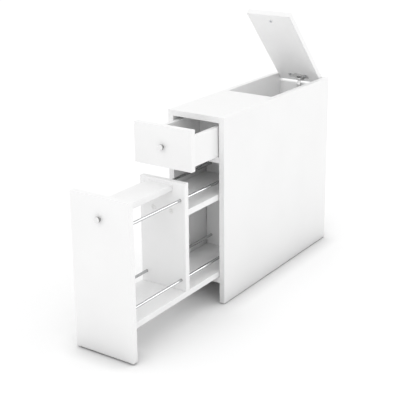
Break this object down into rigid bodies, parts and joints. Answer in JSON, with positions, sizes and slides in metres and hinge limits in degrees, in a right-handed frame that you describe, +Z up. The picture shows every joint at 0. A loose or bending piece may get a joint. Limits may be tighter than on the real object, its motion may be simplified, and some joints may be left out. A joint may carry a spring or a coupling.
{
  "type": "bathroom cabinet",
  "caption": "Narrow floor-standing bathroom cabinet in white board, with a lift-up lid at the back of the top, a small drawer and a tall pull-out with rails, each with a metal knob.",
  "frame": {"origin": "bottom centre of the whole object's box as pictured, with the drawer and the pull-out open and the lid up, on the floor", "axes": "+X to the cabinet's right seen from the front, +Y to its back, +Z up"},
  "size_m": [0.165, 0.915, 0.6902],
  "materials": {
    "white_board": "satin white melamine on particle board",
    "knob_metal": "satin turned metal",
    "chromed_steel": "polished",
    "hinge_metal": "nickel plated",
    "zinc_screw": "bright zinc plated",
    "cam_zinc": "die-cast zinc",
    "beech": "fluted beech",
    "white_plastic": "moulded"
  },
  "bodies": {
    "case": {"side_left": "white_board", "side_right": "white_board", "bottom_board": "white_board", "drawer_shelf": "white_board", "top_board": "white_board", "back_panel": "white_board", "compartment_wall": "white_board", "feet": "white_plastic", "case_cams": "cam_zinc", "case_cam_bolts": "zinc_screw", "case_dowels": "beech", "drawer_runners": "white_plastic", "bay_glides": "white_plastic", "pullout_stop": "white_board", "drawer_stop": "white_board", "stop_screws": "zinc_screw", "lid_bumpers": "white_plastic", "hinge_arm": "hinge_metal", "hinge_plate": "hinge_metal", "hinge_plate_screws": "zinc_screw", "hinge_arm_screw": "zinc_screw"},
    "lid": {"lid": "white_board", "hinge_cup": "hinge_metal", "hinge_pin": "hinge_metal", "hinge_cup_screws": "zinc_screw", "lid_knob": "knob_metal", "lid_knob_screw": "zinc_screw"},
    "drawer": {"drawer_front": "white_board", "drawer_side_left": "white_board", "drawer_side_right": "white_board", "drawer_back": "white_board", "drawer_bottom": "white_board", "drawer_knob": "knob_metal", "drawer_knob_screw": "zinc_screw", "drawer_cams": "cam_zinc", "drawer_cam_bolts": "zinc_screw", "drawer_dowels": "beech", "drawer_back_screws": "zinc_screw", "drawer_tip_pads": "white_plastic"},
    "pullout": {"pullout_front": "white_board", "pullout_top_board": "white_board", "divider": "white_board", "middle_shelf": "white_board", "pullout_bottom": "white_board", "pullout_back": "white_board", "front_rails": "chromed_steel", "rear_rails": "chromed_steel", "pullout_knob": "knob_metal", "pullout_knob_screw": "zinc_screw", "pullout_cams": "cam_zinc", "pullout_cam_bolts": "zinc_screw", "pullout_dowels": "beech", "pullout_screws": "zinc_screw", "screw_caps": "white_plastic", "pullout_tip_pads": "white_plastic", "pullout_rear_glides": "white_plastic", "side_guides": "white_plastic"}
  },
  "joints": [
    {"name": "lid_hinge", "type": "hinge", "parent": "case", "child": "lid", "pos_m": [0, 0.4465, 0.4775], "axis": [-1, 0, 0], "range_deg": [-48, 47]},
    {"name": "drawer_slide", "type": "slide", "parent": "case", "child": "drawer", "axis": [0, -1, 0], "range_m": [-0.1195, 0.04]},
    {"name": "pullout_slide", "type": "slide", "parent": "case", "child": "pullout", "axis": [0, -1, 0], "range_m": [-0.3495, 0.05]}
  ]
}
